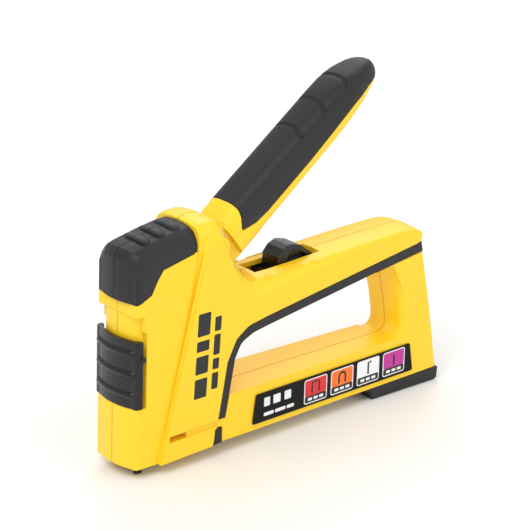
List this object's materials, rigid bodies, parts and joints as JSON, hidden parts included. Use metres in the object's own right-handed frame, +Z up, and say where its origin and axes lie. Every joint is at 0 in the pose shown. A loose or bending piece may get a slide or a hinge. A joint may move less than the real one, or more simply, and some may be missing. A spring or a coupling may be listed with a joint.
{
  "type": "lever staple gun",
  "caption": "Squeeze-handle staple gun: two moulded shells, lifting lever, sprung striker, pull-out staple magazine and finger loop.",
  "frame": {"origin": "centre of the bounding box in X and Y, on the plane that the magazine's foot stands on", "axes": "+X from the nose to the rear end of the magazine, +Y towards the shell that the screws enter, +Z up"},
  "size_m": [0.186, 0.0324, 0.1614],
  "materials": {
    "yellow_abs": "satin moulded yellow plastic",
    "black_soft": "matt soft-touch overmould",
    "black_hard": "satin hard plastic",
    "label_black": "printed film",
    "steel": "plain pressed and drawn steel",
    "dark_steel": "blackened steel",
    "zinc": "as-cast zinc alloy",
    "rubber": "moulded rubber"
  },
  "bodies": {
    "frame": {"left_shell": "yellow_abs", "right_shell": "yellow_abs", "left_bumper_cap": "black_soft", "right_bumper_cap": "black_soft", "left_grip_strip": "black_soft", "right_grip_strip": "black_soft", "left_lower_strip": "black_soft", "right_lower_strip": "black_soft", "left_label": "label_black", "right_label": "label_black", "handle_pin": "steel", "drive_guide": "dark_steel", "spring_seat": "zinc", "stop_bumper": "rubber", "bumper_bracket": "steel", "selector_spring": "steel", "magazine_channel": "steel", "case_screw_1": "dark_steel", "case_screw_2": "dark_steel", "case_screw_3": "dark_steel", "case_screw_4": "dark_steel", "case_screw_5": "dark_steel"},
    "handle": {"handle_lever": "yellow_abs", "handle_grip": "black_soft", "lift_fork": "steel"},
    "striker": {"striker_blade": "steel", "striker_head": "zinc", "main_spring": "steel"},
    "jam": {"jam_slider": "black_hard", "nose_plate": "steel"},
    "selector": {"power_selector": "black_hard"},
    "magazine": {"magazine_tray": "steel", "magazine_end_cap": "black_soft", "pusher_rod": "steel"},
    "pusher": {"staple_pusher": "black_hard", "pusher_spring": "steel"},
    "latch": {"magazine_latch": "black_hard"}
  },
  "joints": [
    {"name": "handle_squeeze", "type": "hinge", "parent": "frame", "child": "handle", "pos_m": [-0.046, 0, 0.097], "axis": [0, 1, 0], "range_deg": [0, 27], "stiffness_Nm_per_rad": 1, "springref_deg": -20.05},
    {"name": "striker_lift", "type": "slide", "parent": "frame", "child": "striker", "axis": [0, 0, 1], "range_m": [0, 0.01695], "deforming": ["main_spring"]},
    {"name": "jam_release", "type": "slide", "parent": "frame", "child": "jam", "axis": [0, 0, 1], "range_m": [0, 0.01]},
    {"name": "power_select", "type": "slide", "parent": "frame", "child": "selector", "axis": [1, 0, 0], "range_m": [-0.008, 0]},
    {"name": "magazine_pull", "type": "slide", "parent": "frame", "child": "magazine", "axis": [1, 0, 0], "range_m": [0, 0.09]},
    {"name": "pusher_travel", "type": "slide", "parent": "magazine", "child": "pusher", "axis": [1, 0, 0], "range_m": [0, 0.1], "stiffness_N_per_m": 20, "springref_m": -0.05, "deforming": ["pusher_spring"]},
    {"name": "latch_press", "type": "slide", "parent": "magazine", "child": "latch", "axis": [0, 0, -1], "range_m": [0, 0.0012], "stiffness_N_per_m": 400, "springref_m": -0.001}
  ],
  "couplings": [
    {"joint": "striker_lift", "follows": "handle_squeeze", "m_per_rad": 0.03586}
  ]
}
